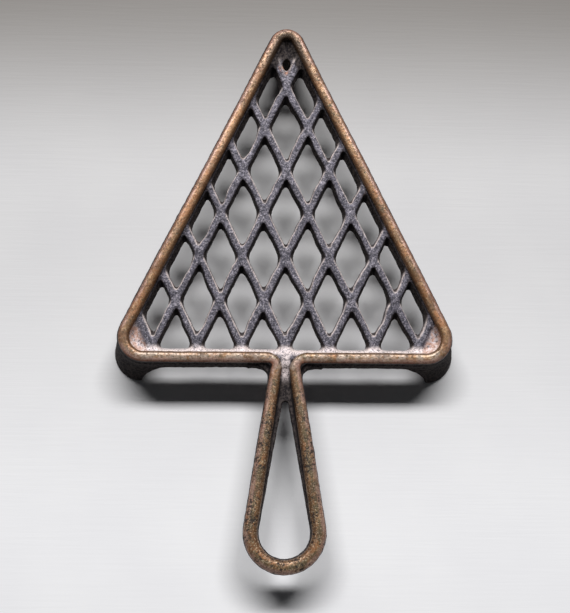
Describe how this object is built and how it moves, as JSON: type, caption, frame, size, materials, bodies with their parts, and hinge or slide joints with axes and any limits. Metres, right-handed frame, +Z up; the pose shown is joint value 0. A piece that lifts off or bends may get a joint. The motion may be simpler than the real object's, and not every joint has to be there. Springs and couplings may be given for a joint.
{
  "type": "sad iron stand",
  "caption": "Cast-iron stand for a hot sad iron: beaded triangular rim round a diamond lattice, splayed corner feet, teardrop loop handle behind the back rail, hanging hole in the nose.",
  "frame": {"origin": "centre of the footprint's bounding box, on the plane the three feet stand on", "axes": "+X to the right with the handle towards the viewer, +Y from the handle to the nose, +Z up"},
  "size_m": [0.1438, 0.2332, 0.0212],
  "materials": {
    "worn_bronze": "bronze-toned coating on the iron, worn to copper and brown",
    "dark_iron": "as-cast, blackened, satin",
    "bare_iron": "as-cast grey iron with a sand-grain surface"
  },
  "bodies": {
    "root": {"rim": "dark_iron", "rim_bead": "worn_bronze", "lattice": "bare_iron", "nose_web": "bare_iron", "left_corner_web": "bare_iron", "right_corner_web": "bare_iron", "neck_web": "bare_iron", "handle": "dark_iron", "handle_bead": "worn_bronze", "front_foot": "dark_iron", "left_foot": "dark_iron", "right_foot": "dark_iron"}
  },
  "joints": []
}
